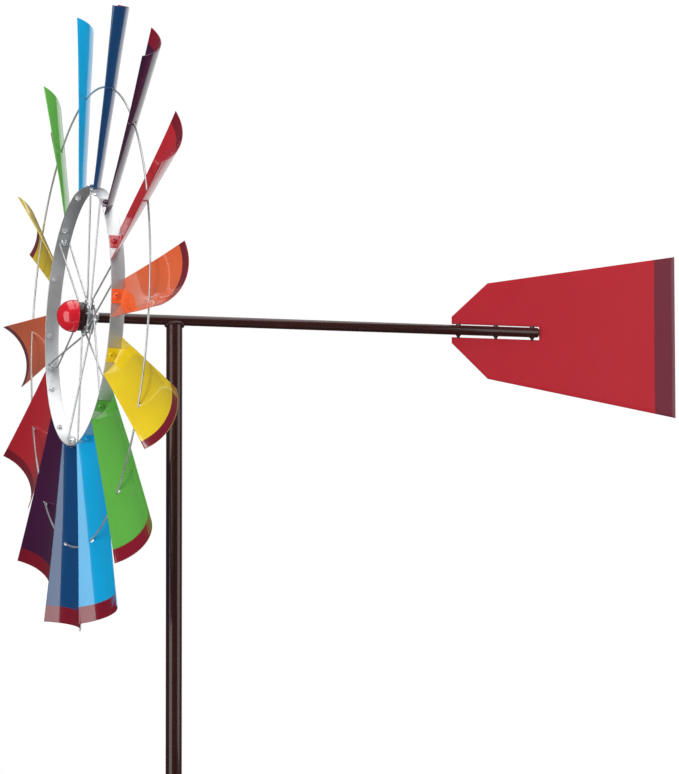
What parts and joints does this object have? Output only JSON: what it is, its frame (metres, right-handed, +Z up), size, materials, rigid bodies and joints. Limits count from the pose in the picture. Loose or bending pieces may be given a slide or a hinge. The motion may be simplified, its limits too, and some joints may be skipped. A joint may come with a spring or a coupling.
{
  "type": "garden windmill",
  "caption": "Garden windmill ornament: a bladed colour wheel and a tail vane on a boom that swivels in the wind on a tall ground pole.",
  "frame": {"origin": "the pole's axis at the ground line, in the underside of the step plate", "axes": "+Z up along the pole, +Y along the boom towards the tail vane, the wheel faces -Y"},
  "size_m": [0.6134, 0.6444, 1.9178],
  "materials": {
    "indigo_paint": "gloss",
    "violet_paint": "gloss",
    "red_paint": "gloss",
    "orange_paint": "gloss",
    "yellow_paint": "gloss",
    "green_paint": "gloss",
    "blue_paint": "gloss",
    "vane_paint": "gloss",
    "brown_paint": "gloss",
    "cap_red": "gloss",
    "galvanised_wire": "satin",
    "hub_steel": "satin",
    "zinc_hardware": "bright zinc",
    "plain_steel": "satin",
    "white_nylon": "natural nylon",
    "black_nylon": "matt"
  },
  "bodies": {
    "base": {"spindle": "plain_steel", "spindle_socket": "black_nylon", "pole_upper": "brown_paint", "pole_lower": "brown_paint", "coupler": "plain_steel", "joint_screws": "zinc_hardware", "stake_socket": "brown_paint", "step_plate": "brown_paint", "prongs": "brown_paint", "clamp_screw": "black_nylon"},
    "head": {"axle_stud": "plain_steel", "front_washer": "zinc_hardware", "rear_washer": "zinc_hardware", "lock_nut": "zinc_hardware", "boom": "brown_paint", "boom_weld": "brown_paint", "boom_plug": "black_nylon", "mast": "brown_paint", "upper_bush": "white_nylon", "lower_bush": "black_nylon", "thrust_plug": "plain_steel", "thrust_ball": "plain_steel", "tail_vane": "vane_paint", "vane_pins": "brown_paint"},
    "wheel": {"blade_indigo_1": "indigo_paint", "blade_violet_1": "violet_paint", "blade_red_1": "red_paint", "blade_orange_1": "orange_paint", "blade_yellow_1": "yellow_paint", "blade_green_1": "green_paint", "blade_blue_1": "blue_paint", "blade_indigo_2": "indigo_paint", "blade_violet_2": "violet_paint", "blade_red_2": "red_paint", "blade_orange_2": "orange_paint", "blade_yellow_2": "yellow_paint", "blade_green_2": "green_paint", "blade_blue_2": "blue_paint", "rim_band": "galvanised_wire", "tie_ring": "galvanised_wire", "spokes_front": "galvanised_wire", "spokes_rear": "galvanised_wire", "spoke_studs": "zinc_hardware", "spoke_nuts": "zinc_hardware", "blade_bolts": "zinc_hardware", "blade_nuts": "zinc_hardware", "hub_barrel": "hub_steel", "front_flange": "hub_steel", "rear_flange": "hub_steel", "front_bush": "white_nylon", "rear_bush": "white_nylon", "cap_collar": "brown_paint", "nose_cap": "cap_red"}
  },
  "joints": [
    {"name": "head_swivel", "type": "hinge", "parent": "base", "child": "head", "pos_m": [0, 0, 1.2], "axis": [0, 0, 1], "continuous": true},
    {"name": "wheel_spin", "type": "hinge", "parent": "head", "child": "wheel", "pos_m": [0, -0.078, 1.45], "axis": [0, -0.9995, 0.0332], "continuous": true}
  ]
}
